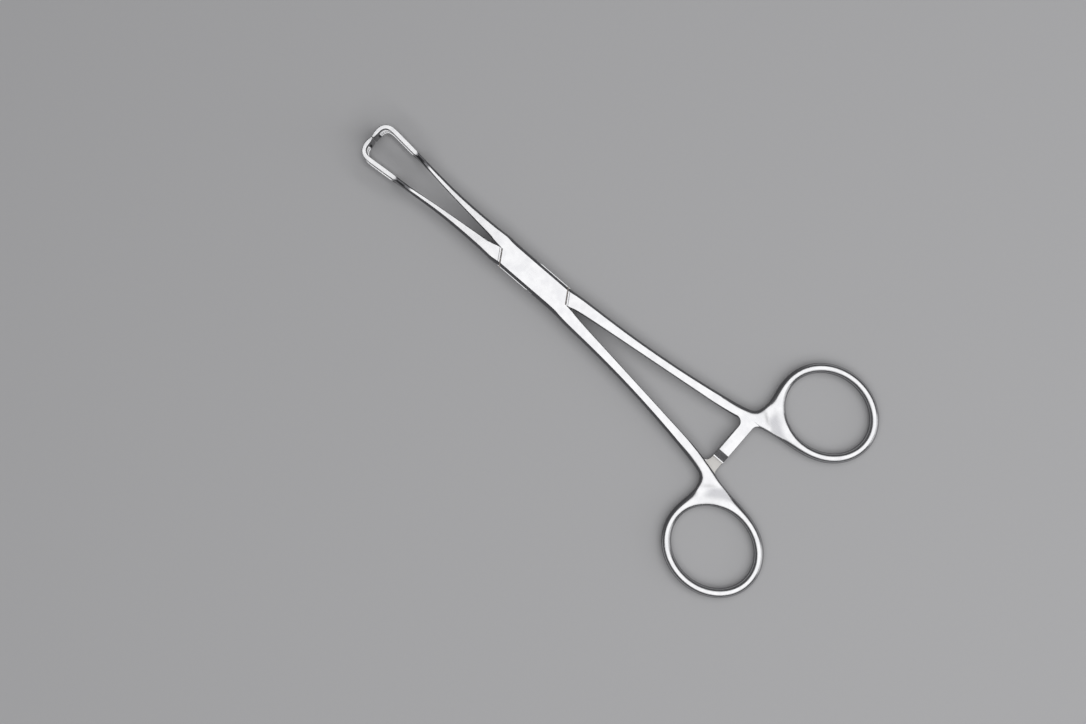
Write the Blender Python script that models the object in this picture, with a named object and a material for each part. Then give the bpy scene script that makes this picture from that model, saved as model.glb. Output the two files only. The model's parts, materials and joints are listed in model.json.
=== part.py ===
"""Traction forceps: a box-lock, ring-handled forceps with windowed jaws.

Two forged halves cross in the box lock and turn on one pin. The box half carries the lock plates,
the through half passes between them. Lengths below are millimetres in the instrument's own frame:
the hinge axis is Z, the jaws point along +Y and the finger rings along -Y.
"""

from math import acos, asin, atan2, cos, exp, pi, radians, sin

import bmesh
import bpy
from mathutils import Matrix, Vector

MM = 0.001

# Reach of the instrument from its hinge
JAW_REACH = 59.4
RING_REACH = 100.95

# Box lock
LOCK_WIDTH = 8.2
LOCK_THICKNESS = 4.8
LOCK_CROTCH = 11.6
SHOULDER_DROP = 2.66
CUT_DEPTH = 3.0
CROTCH_GAP = 0.1
CROTCH_SLOPE = 0.16
PLATE_THICKNESS = 1.35
SLOT_CLEARANCE = 0.1
SHOULDER_GAP = 0.2
WEB_FACE_X = 0.75
WEB_GAP = 0.15
WEB_FOOT_X = 0.35
WEB_FOOT_DROP = 0.4
TONGUE_TUCK = 0.6
WAIST_STEPS = 8
TOOL_MARGIN = 2.0
OPENING_ANGLE = 60.0
STOP_CLEARANCE = 0.05

# Hinge pin
PIN_DIAMETER = 2.6
PIN_FIT = 0.05
PIN_SEGMENTS = 48

# Shanks, from the lock to the yokes
SHANK_SPREAD = 8.4
SHANK_ROOT_WIDTH = 3.9
SHANK_OFFSET = 0.5
SHANK_WAIST_WIDTH = 2.55
SHANK_END_WIDTH = 3.4
SHANK_END_THICKNESS = 3.8
SHANK_ROOT_SLOPE = 0.08
SHANK_END_SLOPE = 0.155

# Arms, from the lock to the jaws
ARM_SPREAD = 3.95
ARM_ROOT_WIDTH = 3.4
ARM_OFFSET = 0.25
ARM_END_WIDTH = 1.25
ARM_END_THICKNESS = 2.7
ARM_LINE = 0.55
ARM_WIDTH_POWER = 1.6
ARM_HEIGHT_POWER = 1.4

# Windowed jaws
JAW_LENGTH = 19.4
JAW_HALF_WIDTH = 6.05
JAW_HEIGHT = 9.0
JAW_WALL = 1.55
JAW_RAMP = 6.0
JAW_BEND_RADIUS = 3.3
RAMP_STEPS = (0.3, 1.0, 1.4)
RAMP_FOOT_RISE = 0.35
STRAIGHT_STEP = 0.72
BEND_STEPS = 3
TIP_STEPS = 2
TIP_DROP = 0.35
WALL_TAPER = 0.1
EDGE_SHARE = 0.3
RAIL_HEIGHT = 1.7
TIP_WALL = 1.0
TIP_GAP = 0.3

# Finger rings
HOLE_LENGTH = 24.6
HOLE_WIDTH = 20.9
RING_SPACING = 48.6
RING_BAND = 2.85
RING_THICKNESS = 3.3
RING_LEAN = 2.7
RING_STATIONS = 24
MOUTH_SEGMENTS = 3

# Yokes, where the shanks flare into the rings
YOKE_TURN = 139.3
YOKE_FLARE = 2.5
YOKE_SPREAD = 26.4
YOKE_DISH = 1.45

# Ratchet
RATCHET_Y = 71.2
NECK_LENGTH = 5.7
RATCHET_WIDTH = 3.4
RATCHET_REACH = 5.0
RATCHET_ROOT_RADIUS = 1.9
UPPER_ROOT = 7.7
UPPER_LEAN = 0.235
LOWER_ROOT = 8.55
LOWER_LEAN = 0.386
ROOT_STEPS = 4
TOOTH_START = 0.5
TOOTH_SHARE = 0.9
TOOL_LIFT = 1.0
RATCHET_GAP = 0.3
RATCHET_TOP = 1.86
NOSE_LENGTH = 2.35
NOSE_HEIGHT = 0.75
TOOTH_COUNT = 3
TOOTH_PITCH = 1.3
TOOTH_DEPTH = 0.5

# Rounded edges beside the ground flats
OUTER_ROUND = 0.9
INNER_ROUND = 0.22
OUTER_EDGE = 0.5
INNER_EDGE = 0.8
ROUND_LIMIT = 0.4

# Steps of the shank, yoke and lock sections
ROOT_DROP = 3.2
SHANK_STATIONS = 6
ARM_STATIONS = 4
YOKE_INNER = (2.95, 1.85, 1.1)
YOKE_OUTER = (3.5, 1.65, 0.95)
YOKE_INNER_DROP = (4.8, 1.95, -1.7)
YOKE_OUTER_DROP = (0.25, -0.65, -2.0)
YOKE_HALF_HEIGHTS = (1.78, 1.88, 1.9)
YOKE_EDGES = (0.65, 0.55)
LOCK_NECK = 0.8
LOCK_HEEL = 0.6
LOCK_CHEEK = 2.4
SHANK_TUCK = 0.3
JAW_ROUND = 0.2
RING_EDGE = 0.42
RING_ROUND = 0.23
MOUTH_EDGE = 1.0

SUBDIVISION = 1
FULL_CREASE = 1.0
SHANK_CREASE = 0.75
JAW_CREASE = 0.8
RING_CREASE = 0.25
WINDOW_CREASE = 0.7
SHARP_ANGLE = 35.0

STEEL = (0.62, 0.62, 0.63, 1.0)
PIN_STEEL = (0.55, 0.55, 0.56, 1.0)
SATIN_ROUGHNESS = 0.3
BRIGHT_ROUGHNESS = 0.28
PIN_ROUGHNESS = 0.35


def clear_scene():
    for item in list(bpy.data.objects):
        bpy.data.objects.remove(item, do_unlink=True)


def steel(name, colour, roughness):
    material = bpy.data.materials.new(name)
    material.use_nodes = True
    shader = material.node_tree.nodes["Principled BSDF"]
    shader.inputs["Base Color"].default_value = colour
    shader.inputs["Metallic"].default_value = 1.0
    shader.inputs["Roughness"].default_value = roughness
    return material


def blend(start, end, share):
    return start + (end - start) * share


def section(left, right, height, rounds, edges):
    """Eight corners of a bar's cross-section, from its left and right edge points in plan."""
    left = Vector(left)
    right = Vector(right)
    across = right - left
    width = across.length
    inset = [min(size, ROUND_LIMIT * width) / width for size in rounds]
    left_in = left + across * inset[0]
    right_in = right - across * inset[1]
    left_edge = edges[0] * height
    right_edge = edges[1] * height
    return [
        (left.x, left.y, -left_edge),
        (left.x, left.y, left_edge),
        (left_in.x, left_in.y, height),
        (right_in.x, right_in.y, height),
        (right.x, right.y, right_edge),
        (right.x, right.y, -right_edge),
        (right_in.x, right_in.y, -height),
        (left_in.x, left_in.y, -height),
    ]


def shank_end():
    """Distance of the shank's foot from the hinge."""
    return RATCHET_Y - NECK_LENGTH


def arm_end():
    """Distance of the jaw's foot from the hinge."""
    return JAW_REACH - JAW_LENGTH


def shank_sections():
    """Sections of the right-hand shank, from its yoke up to the lock; outer edge on the right."""
    half_end = SHANK_END_THICKNESS / 2
    half_lock = LOCK_THICKNESS / 2
    root_y = LOCK_CROTCH + ROOT_DROP
    length = shank_end() - root_y
    root = Vector((LOCK_WIDTH / 4 + SHANK_OFFSET, -root_y))
    end = Vector((SHANK_SPREAD, -shank_end()))
    root_handle = root + Vector((SHANK_ROOT_SLOPE, -1.0)) * (length / 3)
    end_handle = end - Vector((SHANK_END_SLOPE, -1.0)) * (length / 3)
    found = []
    for index in range(SHANK_STATIONS + 1):
        t = index / SHANK_STATIONS
        s = 1 - t
        centre = (end * s ** 3 + end_handle * (3 * s * s * t)
                  + root_handle * (3 * s * t * t) + root * t ** 3)
        waist = 4 * t * s
        width = blend(SHANK_END_WIDTH, SHANK_ROOT_WIDTH, t)
        width += (SHANK_WAIST_WIDTH - (SHANK_END_WIDTH + SHANK_ROOT_WIDTH) / 2) * waist
        height = blend(half_end, half_lock, t)
        found.append(section(
            (centre.x - width / 2, centre.y), (centre.x + width / 2, centre.y), height,
            (INNER_ROUND, OUTER_ROUND), (INNER_EDGE, OUTER_EDGE)))
    return found


def yoke_sections():
    """Sections between the finger ring and the right-hand shank."""
    inner = SHANK_SPREAD - SHANK_END_WIDTH / 2
    outer = SHANK_SPREAD + SHANK_END_WIDTH / 2
    found = []
    for row, height in enumerate(YOKE_HALF_HEIGHTS):
        left = (inner + YOKE_INNER[row], -RATCHET_Y - YOKE_INNER_DROP[row])
        right = (outer + YOKE_OUTER[row], -RATCHET_Y - YOKE_OUTER_DROP[row])
        found.append(section(left, right, height, (INNER_ROUND, OUTER_ROUND), YOKE_EDGES))
    return found


def lock_sections():
    """Sections through the lock, wide as the plates; the shoulders are cut from them later."""
    half = LOCK_WIDTH / 2
    height = LOCK_THICKNESS / 2
    below = LOCK_CROTCH + LOCK_NECK
    heel = LOCK_CROTCH - LOCK_HEEL
    cheek = LOCK_CROTCH - LOCK_CHEEK
    plate_rounds = (OUTER_ROUND, OUTER_ROUND)
    plate_edges = (OUTER_EDGE, OUTER_EDGE)
    lower = [
        ((-SHANK_TUCK, -below), (half + SHOULDER_GAP, -below), (INNER_ROUND, OUTER_ROUND),
         (INNER_EDGE, OUTER_EDGE)),
        ((-half, -heel), (half + SHOULDER_GAP / 2, -heel), plate_rounds, plate_edges),
        ((-half, -cheek), (half, -cheek), plate_rounds, plate_edges),
        ((-half, -cheek / 2), (half, -cheek / 2), plate_rounds, plate_edges),
    ]
    found = [section(left, right, height, rounds, edges) for left, right, rounds, edges in lower]
    for left, right, rounds, edges in reversed(lower):
        turned_left = (-right[0], -right[1])
        turned_right = (-left[0], -left[1])
        found.append(section(turned_left, turned_right, height, rounds[::-1], edges[::-1]))
    return found


def arm_sections():
    """Sections of the left-hand arm, from the lock to the foot of its jaw; outer edge on the left."""
    found = []
    root_y = LOCK_CROTCH + ROOT_DROP
    for index in range(ARM_STATIONS + 1):
        t = index / ARM_STATIONS
        y = blend(root_y, arm_end(), t)
        x = blend(LOCK_WIDTH / 4 + ARM_OFFSET, ARM_SPREAD, blend(t ** 3, t, ARM_LINE))
        width = blend(ARM_ROOT_WIDTH, ARM_END_WIDTH, 1 - (1 - t) ** ARM_WIDTH_POWER)
        height = blend(LOCK_THICKNESS, ARM_END_THICKNESS, 1 - (1 - t) ** ARM_HEIGHT_POWER) / 2
        found.append(section(
            (-x - width / 2, y), (-x + width / 2, y), height,
            (OUTER_ROUND, INNER_ROUND), (OUTER_EDGE, INNER_EDGE)))
    return found


def jaw_path():
    """Plan points of the left-hand jaw's middle line with the direction across it, ramp to tip."""
    centre_x = JAW_HALF_WIDTH - JAW_WALL / 2
    radius = JAW_BEND_RADIUS - JAW_WALL / 2
    top_y = JAW_REACH - JAW_WALL / 2
    pivot = Vector((centre_x - radius, top_y - radius))
    start = Vector((ARM_SPREAD, arm_end()))
    away = pivot - start
    lean = atan2(away.x, away.y) + asin(radius / away.length)
    side = Vector((cos(lean), -sin(lean)))
    run = pivot + side * radius - start
    ramp = JAW_RAMP / run.length
    shares = [share * ramp for share in RAMP_STEPS] + [blend(ramp, 1.0, STRAIGHT_STEP), 1.0]
    points = [(start + run * share, side) for share in shares]
    for index in range(1, BEND_STEPS + 1):
        turn = -lean + (pi / 2 + lean) * index / BEND_STEPS
        out = Vector((cos(turn), sin(turn)))
        points.append((pivot + out * radius, out))
    for index in range(1, TIP_STEPS + 1):
        x = blend(pivot.x, TIP_GAP / 2, index / TIP_STEPS)
        points.append((Vector((x, top_y)), Vector((0.0, 1.0))))
    return points


def jaw_sections():
    """Sections of the left-hand jaw, from the foot of its ramp to its tip."""
    half = JAW_HEIGHT / 2
    points = jaw_path()
    full = len(points) - 2
    heights = [ARM_END_THICKNESS / 2 + RAMP_FOOT_RISE] + [half] * full + [half - TIP_DROP]
    walls = [ARM_END_WIDTH, JAW_WALL - WALL_TAPER] + [JAW_WALL] * (full - 1) + [TIP_WALL]
    found = []
    for (point, side), height, wall in zip(points, heights, walls):
        edge = max(height - RAIL_HEIGHT, EDGE_SHARE * height)
        outer = point + side * (wall / 2)
        inner = point - side * (wall / 2)
        share = edge / height
        found.append(section((-outer.x, outer.y), (-inner.x, inner.y), height,
                             (JAW_ROUND, JAW_ROUND), (share, share)))
    return found


def ring_point(turn, offset):
    """Plan point of the right-hand finger ring, offset outwards from the edge of its hole."""
    across = HOLE_WIDTH / 2
    along = HOLE_LENGTH / 2
    centre = Vector((RING_SPACING / 2, along + RING_BAND - RING_REACH))
    point = Vector((across * cos(turn), along * sin(turn)))
    normal = Vector((along * cos(turn), across * sin(turn))).normalized()
    lean = Matrix.Rotation(radians(RING_LEAN), 2)
    return centre + lean @ (point + normal * offset)


def ring_section(index):
    """Cross-section of the finger ring at one station, inner edge first."""
    turn = radians(YOKE_TURN) + 2 * pi * (index - MOUTH_SEGMENTS / 2) / RING_STATIONS
    away = abs((turn - radians(YOKE_TURN) + pi) % (2 * pi) - pi)
    flare = YOKE_FLARE * exp(-(away / radians(YOKE_SPREAD)) ** 2)
    half = RING_THICKNESS / 2
    edge = RING_EDGE * half
    mouth = {0: MOUTH_EDGE, 1: YOKE_DISH, 2: YOKE_DISH, 3: MOUTH_EDGE}
    outer_edge = mouth.get(index, edge)
    inner = ring_point(turn, 0.0)
    inner_top = ring_point(turn, RING_ROUND * RING_BAND)
    outer_top = ring_point(turn, (1 - RING_ROUND) * RING_BAND + flare / 2)
    outer = ring_point(turn, RING_BAND + flare)
    return [
        (inner.x, inner.y, -edge),
        (inner.x, inner.y, edge),
        (inner_top.x, inner_top.y, half),
        (outer_top.x, outer_top.y, half),
        (outer.x, outer.y, outer_edge),
        (outer.x, outer.y, -outer_edge),
        (outer_top.x, outer_top.y, -half),
        (inner_top.x, inner_top.y, -half),
    ]


def add_points(bm, points, hand):
    return [bm.verts.new((x * MM * hand, y * MM, z * MM)) for x, y, z in points]


def skin(bm, first, second, crease, amount, skipped=()):
    """Joins two equal loops with quads; the edges beside the ground flats get a crease."""
    count = len(first)
    for index in range(count):
        if index not in skipped:
            after = (index + 1) % count
            bm.faces.new((first[index], first[after], second[after], second[index]))
    for index in (2, 3, 6, 7):
        edge = bm.edges.get((first[index], second[index]))
        if edge:
            edge[crease] = amount


def add_ring(bm, hand, crease):
    """Finger ring with an open mouth for the yoke; returns the mouth's eight corners."""
    loops = [add_points(bm, ring_section(index), hand) for index in range(RING_STATIONS)]
    for index in range(RING_STATIONS):
        after = (index + 1) % RING_STATIONS
        at_mouth = index < MOUTH_SEGMENTS
        skin(bm, loops[index], loops[after], crease, 0.0 if at_mouth else RING_CREASE,
             (4,) if at_mouth else ())
    return [loops[3][5], loops[3][4], loops[2][4], loops[1][4],
            loops[0][4], loops[0][5], loops[1][5], loops[2][5]]


def add_window(bm, loops, crease, first, last):
    """Cuts the jaw's window: its side faces are left open and its four walls closed."""
    for index in range(first, last):
        low, high = loops[index], loops[index + 1]
        bm.faces.new((low[1], low[4], high[4], high[1]))
        bm.faces.new((low[0], high[0], high[5], low[5]))
        for corner in (0, 1, 4, 5):
            bm.edges.get((low[corner], high[corner]))[crease] = WINDOW_CREASE
    bm.faces.new((loops[first][0], loops[first][5], loops[first][4], loops[first][1]))
    bm.faces.new((loops[last][0], loops[last][1], loops[last][4], loops[last][5]))
    for end in (first, last):
        for pair in ((0, 1), (4, 5)):
            bm.edges.get((loops[end][pair[0]], loops[end][pair[1]]))[crease] = WINDOW_CREASE


def forging(name, hand):
    """One whole half before machining: finger ring, yoke, shank, lock, arm and windowed jaw."""
    bm = bmesh.new()
    crease = bm.edges.layers.float.new("crease_edge")
    mouth = add_ring(bm, hand, crease)
    yoke = yoke_sections()
    shank = shank_sections()
    lock = lock_sections()
    arm = arm_sections()
    jaw = jaw_sections()
    bar = yoke + shank + lock + arm
    loops = [mouth] + [add_points(bm, points, hand) for points in bar]
    for index in range(len(loops) - 1):
        if index < len(yoke):
            amount = 0.0
        elif index < len(yoke) + len(shank):
            amount = SHANK_CREASE
        elif index < len(yoke) + len(shank) + len(lock):
            amount = FULL_CREASE
        else:
            amount = SHANK_CREASE
        skin(bm, loops[index], loops[index + 1], crease, amount)
    jaw_loops = [add_points(bm, points, hand) for points in jaw]
    skin(bm, loops[-1], jaw_loops[0], crease, SHANK_CREASE)
    window_first = 1
    window_last = len(jaw_loops) - 2
    for index in range(len(jaw_loops) - 1):
        inside = window_first <= index < window_last
        skin(bm, jaw_loops[index], jaw_loops[index + 1], crease, JAW_CREASE,
             (0, 4) if inside else ())
    add_window(bm, jaw_loops, crease, window_first, window_last)
    for low, high in ((2, 3), (6, 7)):
        bm.edges.get((jaw_loops[1][low], jaw_loops[1][high]))[crease] = JAW_CREASE
    cap = bm.faces.new(jaw_loops[-1])
    for edge in cap.edges:
        edge[crease] = FULL_CREASE
    bmesh.ops.recalc_face_normals(bm, faces=bm.faces)
    return finish_mesh(bm, name)


def finish_mesh(bm, name):
    mesh = bpy.data.meshes.new(name)
    bm.to_mesh(mesh)
    bm.free()
    item = bpy.data.objects.new(name, mesh)
    bpy.context.scene.collection.objects.link(item)
    return item


def add_subdivision(item):
    modifier = item.modifiers.new("forged surface", "SUBSURF")
    modifier.levels = SUBDIVISION
    modifier.render_levels = SUBDIVISION


def prism(name, outline, bottom, top):
    """Extrudes a plan outline between two heights."""
    bm = bmesh.new()
    face = bm.faces.new([bm.verts.new((x * MM, y * MM, bottom * MM)) for x, y in outline])
    grown = bmesh.ops.extrude_face_region(bm, geom=[face])
    raised = [item for item in grown["geom"] if isinstance(item, bmesh.types.BMVert)]
    bmesh.ops.translate(bm, verts=raised, vec=(0, 0, (top - bottom) * MM))
    bmesh.ops.recalc_face_normals(bm, faces=bm.faces)
    return finish_mesh(bm, name)


def cylinder(name, radius, bottom, top):
    bm = bmesh.new()
    bmesh.ops.create_cone(
        bm, cap_ends=True, segments=PIN_SEGMENTS, radius1=radius * MM, radius2=radius * MM,
        depth=(top - bottom) * MM, matrix=Matrix.Translation((0, 0, (top + bottom) / 2 * MM)))
    return finish_mesh(bm, name)


def hide_tool(item):
    item.hide_render = True
    item.display_type = "WIRE"


def cut(item, tool, operation="DIFFERENCE"):
    hide_tool(tool)
    modifier = item.modifiers.new(tool.name, "BOOLEAN")
    modifier.operation = operation
    modifier.object = tool
    modifier.solver = "EXACT"


def turned(outline):
    """The same outline turned half a circle about the hinge."""
    return [(-x, -y) for x, y in outline]


def shoulder_line(gap):
    """Crotch and outer end of the lock's lower shoulder, for the shank on its right."""
    reach = LOCK_WIDTH / 2
    slope = SHOULDER_DROP / (reach + SHOULDER_GAP)
    start = Vector((-SHOULDER_GAP, -LOCK_CROTCH - gap))
    end_x = reach + TOOL_MARGIN
    return [tuple(start), (end_x, start.y + slope * (end_x - start.x))]


def inner_wall(drop):
    """Half gap between the two shanks, a little below the crotch."""
    return CROTCH_GAP + CROTCH_SLOPE * drop


def box_trim():
    """Plan outline beyond the box half's lower shoulder, where the other shank begins."""
    crotch, outer = shoulder_line(0.0)
    below = crotch[1] - CUT_DEPTH
    return [crotch, outer, (outer[0], below), (-inner_wall(CUT_DEPTH), below)]


def lock_space():
    """Plan outline of the room that the through half leaves for the box half's plates."""
    crotch, outer = shoulder_line(SHOULDER_GAP)
    below = crotch[1] - CUT_DEPTH
    far = -LOCK_WIDTH / 2 - TOOL_MARGIN
    lower = [(far, below), (CROTCH_SLOPE * CUT_DEPTH, below), crotch, outer]
    return lower + turned(lower)


def tangent_corner(gap, face_x):
    """Where a web's stop face, turned by the opening angle, meets the web's inner face."""
    reach = LOCK_WIDTH / 2 + gap
    turn = radians(180 + OPENING_ANGLE)
    y = (reach - (-face_x) * cos(turn)) / sin(turn)
    return (-face_x, y)


def slot_outline():
    """Plan outline of the slot: all of the lock but the two webs that join the plates."""
    side_x = LOCK_WIDTH / 2 + TOOL_MARGIN
    corner = tangent_corner(STOP_CLEARANCE, WEB_FACE_X)
    far = tangent_corner(STOP_CLEARANCE, side_x)
    foot = (-WEB_FOOT_X, -LOCK_CROTCH - WEB_FOOT_DROP)
    side = (side_x + TOOL_MARGIN, foot[1])
    lower = [far, corner, foot, side]
    return lower + turned(lower)


def waist_outline():
    """Plan outline of the thinned waist that turns inside the slot."""
    hub = LOCK_WIDTH / 2
    last = pi + acos((WEB_FACE_X - WEB_GAP) / hub)
    lower = []
    for index in range(WAIST_STEPS + 1):
        turn = blend(pi, last, index / WAIST_STEPS)
        lower.append((hub * cos(turn), hub * sin(turn)))
    heel = -LOCK_CROTCH + SHOULDER_DROP - TONGUE_TUCK
    lower += [(-TONGUE_TUCK / 4, -LOCK_CROTCH + TONGUE_TUCK / 2),
              (TONGUE_TUCK, -LOCK_CROTCH - 3 * TONGUE_TUCK),
              (hub - TONGUE_TUCK, -LOCK_CROTCH - TONGUE_TUCK), (hub, heel)]
    return lower + turned(lower)


def fillet(corner, before, after, radius, steps):
    """Arc points that round one corner of an outline."""
    corner = Vector(corner)
    first = (Vector(before) - corner).normalized()
    second = (Vector(after) - corner).normalized()
    half = first.angle(second) / 2
    middle = (first + second).normalized()
    centre = corner + middle * (radius / sin(half))
    start = -first.orthogonal() if (first.orthogonal()).dot(middle) > 0 else first.orthogonal()
    begin = atan2(start.y, start.x)
    other = -second.orthogonal() if (second.orthogonal()).dot(middle) > 0 else second.orthogonal()
    end = atan2(other.y, other.x)
    sweep = (end - begin + pi) % (2 * pi) - pi
    return [tuple(centre + Vector((cos(begin + sweep * i / steps), sin(begin + sweep * i / steps)))
                  * radius) for i in range(steps + 1)]


def ratchet_outline():
    """Plan outline of the right-hand ratchet bar, with rounded roots on its shank."""
    half = RATCHET_WIDTH / 2
    low = -RATCHET_Y - half
    high = -RATCHET_Y + half
    radius = RATCHET_ROOT_RADIUS
    lower = fillet((LOWER_ROOT, low), (-RATCHET_REACH, low),
                   (LOWER_ROOT + LOWER_LEAN, low - 1.0), radius, ROOT_STEPS)
    upper = fillet((UPPER_ROOT, high), (UPPER_ROOT - UPPER_LEAN, high + 1.0),
                   (-RATCHET_REACH, high), radius, ROOT_STEPS)
    return ([(-RATCHET_REACH, high), (-RATCHET_REACH, low)] + lower
            + [(SHANK_SPREAD + SHANK_OFFSET, low), (SHANK_SPREAD, high + radius)] + upper)


def ratchet_bar(name):
    """Ratchet bar of one half: a sloped nose and a toothed face turned to the other bar."""
    floor = RATCHET_GAP / 2
    end = -RATCHET_REACH
    slope_end = end + NOSE_LENGTH
    item = prism(name, ratchet_outline(), floor, RATCHET_TOP)
    cut(item, standing(name + "_nose", [
        (end - TOOL_LIFT, floor + NOSE_HEIGHT), (end, floor + NOSE_HEIGHT),
        (slope_end, RATCHET_TOP), (slope_end, RATCHET_TOP + TOOL_LIFT),
        (end - TOOL_LIFT, RATCHET_TOP + TOOL_LIFT)]))
    for index in range(TOOTH_COUNT):
        start = end + TOOTH_START + index * TOOTH_PITCH
        stop = start + TOOTH_SHARE * TOOTH_PITCH
        cut(item, standing(f"{name}_notch_{index}", [
            (start, floor - TOOL_LIFT), (stop, floor - TOOL_LIFT), (stop, floor),
            (start, floor + TOOTH_DEPTH)]))
    return item


def standing(name, outline):
    """A prism across the ratchet bar whose outline stands in the XZ plane."""
    item = prism(name, outline, RATCHET_Y - RATCHET_WIDTH, RATCHET_Y + RATCHET_WIDTH)
    item.data.transform(Matrix(((1, 0, 0), (0, 0, -1), (0, 1, 0))).to_4x4())
    return item


def apply_modifiers(item):
    """Bakes a tool's own modifiers, so that it can be mirrored as one mesh."""
    graph = bpy.context.evaluated_depsgraph_get()
    mesh = bpy.data.meshes.new_from_object(item.evaluated_get(graph))
    item.modifiers.clear()
    item.data = mesh


def place_bar(bar, hand):
    """The box half's bar is the through half's turned half a circle about Y."""
    if hand < 0:
        bar.data.transform(Matrix.Rotation(pi, 4, "Y"))


def build_half(name, hand, material):
    item = forging(name, hand)
    item.data.materials.append(material)
    add_subdivision(item)
    bar = ratchet_bar(name + "_ratchet")
    apply_modifiers(bar)
    place_bar(bar, hand)
    half_plate = LOCK_THICKNESS / 2
    over = half_plate + TOOL_LIFT
    if hand < 0:
        cut(item, prism("shoulder_lower", box_trim(), -over, over))
        cut(item, prism("shoulder_upper", turned(box_trim()), -over, over))
        slot = half_plate - PLATE_THICKNESS
        cut(item, prism("lock_slot", slot_outline(), -slot, slot))
    else:
        cut(item, prism("lock_room", lock_space(), -over, over))
        waist = half_plate - PLATE_THICKNESS - SLOT_CLEARANCE
        cut(item, prism("waist", waist_outline(), -waist, waist), "UNION")
    bore = PIN_DIAMETER / 2 + PIN_FIT
    cut(item, cylinder(name + "_bore", bore, -over, over))
    cut(item, bar, "UNION")
    return item


def build_pin(material):
    half = LOCK_THICKNESS / 2
    item = cylinder("lock_pin", PIN_DIAMETER / 2, -half, half)
    item.data.materials.append(material)
    return item


def ring_contact():
    """Distance from the hinge at which the finger rings touch the table."""
    return RING_REACH - RING_BAND / 2


def rest_lean():
    """Angle at which the instrument lies: jaws and finger rings both touch the table."""
    drop = (JAW_HEIGHT - RING_THICKNESS) / 2
    return atan2(drop, arm_end() + JAW_RAMP + ring_contact())


def table_frame():
    """Empty that lays the instrument on the table, its box's lower middle at the origin."""
    frame = bpy.data.objects.new("forceps_frame", None)
    bpy.context.scene.collection.objects.link(frame)
    lean = rest_lean()
    height = RING_THICKNESS / 2 * cos(lean) + ring_contact() * sin(lean)
    middle = (RING_REACH - JAW_REACH) / 2 * cos(lean)
    frame.location = (0.0, middle * MM, height * MM)
    frame.rotation_euler = (lean, 0.0, 0.0)
    return frame


def shade(item):
    item.data.shade_smooth()
    item.data.set_sharp_from_angle(angle=radians(SHARP_ANGLE))


def main():
    clear_scene()
    box = build_half("box_half", -1, steel("satin steel", STEEL, SATIN_ROUGHNESS))
    through = build_half("through_half", 1, steel("bright steel", STEEL, BRIGHT_ROUGHNESS))
    pin = build_pin(steel("pin steel", PIN_STEEL, PIN_ROUGHNESS))
    frame = table_frame()
    for item in list(bpy.data.objects):
        if item is not frame:
            item.parent = frame
    for item in (box, through, pin):
        shade(item)


main()
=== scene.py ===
"""Traction forceps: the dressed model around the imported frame.

Laid out as a Blender add-on and run as a script. Sizes are properties in metres; the shapes are
drawn in millimetres in the instrument's own frame (hinge axis Z, jaws along +Y, finger rings along
-Y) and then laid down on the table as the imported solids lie.
"""

import json
from math import acos, asin, atan2, cos, exp, pi, radians, sin
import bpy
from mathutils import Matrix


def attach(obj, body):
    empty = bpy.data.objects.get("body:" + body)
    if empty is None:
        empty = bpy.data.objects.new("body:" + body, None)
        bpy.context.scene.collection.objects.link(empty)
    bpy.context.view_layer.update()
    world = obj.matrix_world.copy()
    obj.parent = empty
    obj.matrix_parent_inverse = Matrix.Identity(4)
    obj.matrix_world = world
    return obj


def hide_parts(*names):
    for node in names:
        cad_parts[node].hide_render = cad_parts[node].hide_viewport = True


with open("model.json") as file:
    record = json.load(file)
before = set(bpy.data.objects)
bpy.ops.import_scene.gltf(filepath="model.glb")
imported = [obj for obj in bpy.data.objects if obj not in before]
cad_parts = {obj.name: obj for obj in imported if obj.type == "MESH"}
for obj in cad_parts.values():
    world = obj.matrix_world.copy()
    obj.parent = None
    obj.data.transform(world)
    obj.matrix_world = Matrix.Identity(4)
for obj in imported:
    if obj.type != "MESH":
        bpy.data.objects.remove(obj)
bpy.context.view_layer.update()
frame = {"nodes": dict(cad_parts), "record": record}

from types import SimpleNamespace

import bmesh
import bpy
from bpy.props import FloatProperty, FloatVectorProperty, IntProperty, PointerProperty
from mathutils import Matrix, Vector

bl_info = {
    "name": "Traction Forceps",
    "version": (1, 0, 0),
    "blender": (4, 5, 0),
    "location": "3D View > Sidebar > Forceps",
    "description": "Builds a box-lock traction forceps in satin steel around its packed solids",
    "category": "Add Mesh",
}

MM = 0.001
HINGE = frame["record"]["behaviour"]["joints"][0]
LEAN = atan2(-HINGE["axis"][1], HINGE["axis"][2])
FACING = "facing"

# Stage: places and sizes in metres, the field of view in degrees
CAMERA_PLACE = (-0.02372, -0.01599, 0.500)
CAMERA_RIGHT = (0.65278, -0.75729, -0.01982)
CAMERA_UP = (0.7574, 0.65189, 0.03718)
CAMERA_FIELD = 33.562
FLOOR_REACH = 2.0
LAMP_BACK = -0.35
LOW_LAMP_PLACE = (0.45, -0.90, 0.34)
LOW_LAMP_SIZE = 0.6
SPECK_SCALE = 900.0
SPECK_SHARE = 0.08
SPECK_SHADE = 0.8
FLOOR_ROUGHNESS = 0.9
FLOOR_SHINE = 0.1

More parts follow.
